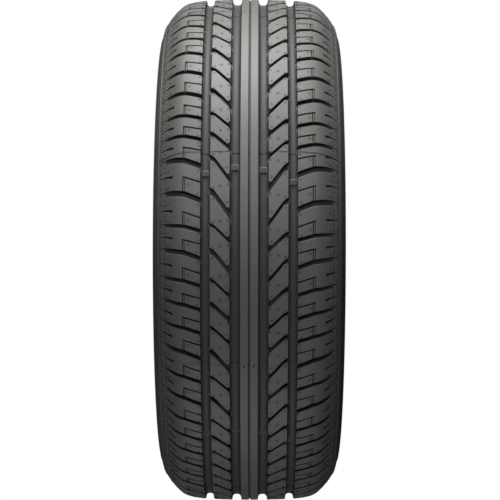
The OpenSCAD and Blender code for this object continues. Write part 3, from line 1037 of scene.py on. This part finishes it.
def area_lamp(name, place, size, power):
    """A rectangular lamp that faces the middle of the tyre, with its height along the tread."""
    lamp = bpy.data.lights.new(name, "AREA")
    lamp.shape = "RECTANGLE"
    lamp.size, lamp.size_y = size
    lamp.energy = power
    obj = bpy.data.objects.new(name, lamp)
    bpy.context.scene.collection.objects.link(obj)
    away = Vector(place).normalized()
    across = (Vector((0, 0, 1)) - away * away.z).normalized()
    along = away.cross(across)
    obj.matrix_world = Matrix.Translation(place) @ Matrix((across, along, away)).transposed().to_4x4()
    return obj


def camera_axes():
    """Unit vectors of the camera: right, up and back."""
    a, t, roll = (math.radians(v) for v in (CAMERA_AZIMUTH, CAMERA_TILT, CAMERA_ROLL))
    back = Vector((math.cos(a) * math.cos(t), math.sin(a) * math.cos(t), math.sin(t)))
    level_up = Vector((-math.sin(a), math.cos(a), 0))
    level_right = level_up.cross(back)
    right = level_right * math.cos(roll) + level_up * math.sin(roll)
    return right, level_up * math.cos(roll) - level_right * math.sin(roll), back


def show_white(material):
    """Makes a surface plain white to the camera, while it still takes and gives light."""
    nodes, links = material.node_tree.nodes, material.node_tree.links
    path = nodes.new("ShaderNodeLightPath")
    white = nodes.new("ShaderNodeEmission")
    mix = nodes.new("ShaderNodeMixShader")
    links.new(path.outputs["Is Camera Ray"], mix.inputs["Fac"])
    links.new(nodes["Principled BSDF"].outputs["BSDF"], mix.inputs[1])
    links.new(white.outputs["Emission"], mix.inputs[2])
    links.new(mix.outputs["Shader"], nodes["Material Output"].inputs["Surface"])


class TYRE_OT_stage(bpy.types.Operator):
    """Sets up the floor, the world, the lamps and the camera"""

    bl_idname = "tyre.stage"
    bl_label = "Stage"

    def execute(self, context):
        scene = context.scene
        light = scene.studio_light
        right, up, back = camera_axes()
        distance = CAMERA_RADII * OUTER_R * MM
        camera = bpy.data.cameras.new("camera")
        camera.sensor_fit = "HORIZONTAL"
        camera.sensor_width = SENSOR
        camera.lens = LENS
        camera.shift_x = (PICTURE / 2 - CENTRE[0]) / PICTURE
        camera.shift_y = (CENTRE[1] - PICTURE / 2) / PICTURE
        camera.clip_end = CLIP_END
        eye = bpy.data.objects.new("camera", camera)
        scene.collection.objects.link(eye)
        eye.matrix_world = Matrix((
            (right[0], up[0], back[0], back[0] * distance),
            (right[1], up[1], back[1], back[1] * distance),
            (right[2], up[2], back[2], back[2] * distance),
            (0, 0, 0, 1)))
        scene.camera = eye

        floor = Pieces()
        half = FLOOR_HALF
        z = tyre_low[2] / MM - FLOOR_GAP
        floor.add([(-half, -half, z), (half, -half, z), (half, half, z), (-half, half, z)], [[0, 1, 2, 3]])
        floor = floor.make("floor")
        material = bpy.data.materials.new("pale_floor")
        material.use_nodes = True
        shader = material.node_tree.nodes["Principled BSDF"]
        shader.inputs["Base Color"].default_value = FLOOR_COLOUR
        shader.inputs["Roughness"].default_value = FLOOR_ROUGHNESS
        show_white(material)
        floor.data.materials.append(material)

        world = bpy.data.worlds.new("studio")
        world.use_nodes = True
        scene.world = world
        nodes, links = world.node_tree.nodes, world.node_tree.links
        background = nodes["Background"]
        path = nodes.new("ShaderNodeLightPath")
        mix = nodes.new("ShaderNodeMix")
        mix.data_type = "RGBA"
        level = light.world
        mix.inputs["A"].default_value = (level, level, level, 1)
        mix.inputs["B"].default_value = WHITE
        links.new(path.outputs["Is Camera Ray"], mix.inputs["Factor"])
        links.new(mix.outputs["Result"], background.inputs["Color"])

        lamps = (
            ("top", TOP_PLACE, light.top), ("front", FRONT_PLACE, light.front),
            ("low", LOW_PLACE, light.low))
        for name, (high, near), power in lamps:
            area_lamp(name, up * high + back * near, LAMP_SIZE, power)
        scene.view_settings.view_transform = "Standard"
        return {"FINISHED"}


class TYRE_PT_panel(bpy.types.Panel):
    """Sizes, colours and steps of the tyre"""

    bl_idname = "TYRE_PT_panel"
    bl_label = "Tyre"
    bl_space_type = "VIEW_3D"
    bl_region_type = "UI"
    bl_category = "Tyre"

    def draw(self, context):
        for group in GROUPS:
            box = self.layout.box()
            for name in GROUPS[group].__annotations__:
                box.prop(getattr(context.scene, group), name)
        for operator in OPERATORS:
            self.layout.operator(operator.bl_idname)


GROUPS = {
    "tyre_shape": TyreShape,
    "tread_pattern": TreadPattern,
    "rubber_finish": RubberFinish,
    "studio_light": StudioLight,
}
OPERATORS = (TYRE_OT_body, TYRE_OT_tread, TYRE_OT_vents, TYRE_OT_stage)


def register():
    for group in GROUPS.values():
        bpy.utils.register_class(group)
    for name, group in GROUPS.items():
        setattr(bpy.types.Scene, name, bpy.props.PointerProperty(type=group))
    for item in (*OPERATORS, TYRE_PT_panel):
        bpy.utils.register_class(item)


def unregister():
    for item in reversed((*OPERATORS, TYRE_PT_panel)):
        bpy.utils.unregister_class(item)
    for name, group in GROUPS.items():
        delattr(bpy.types.Scene, name)
        bpy.utils.unregister_class(group)


def main():
    register()
    bpy.ops.tyre.body()
    bpy.ops.tyre.tread()
    bpy.ops.tyre.vents()
    bpy.ops.tyre.stage()


if __name__ == "__main__":
    main()
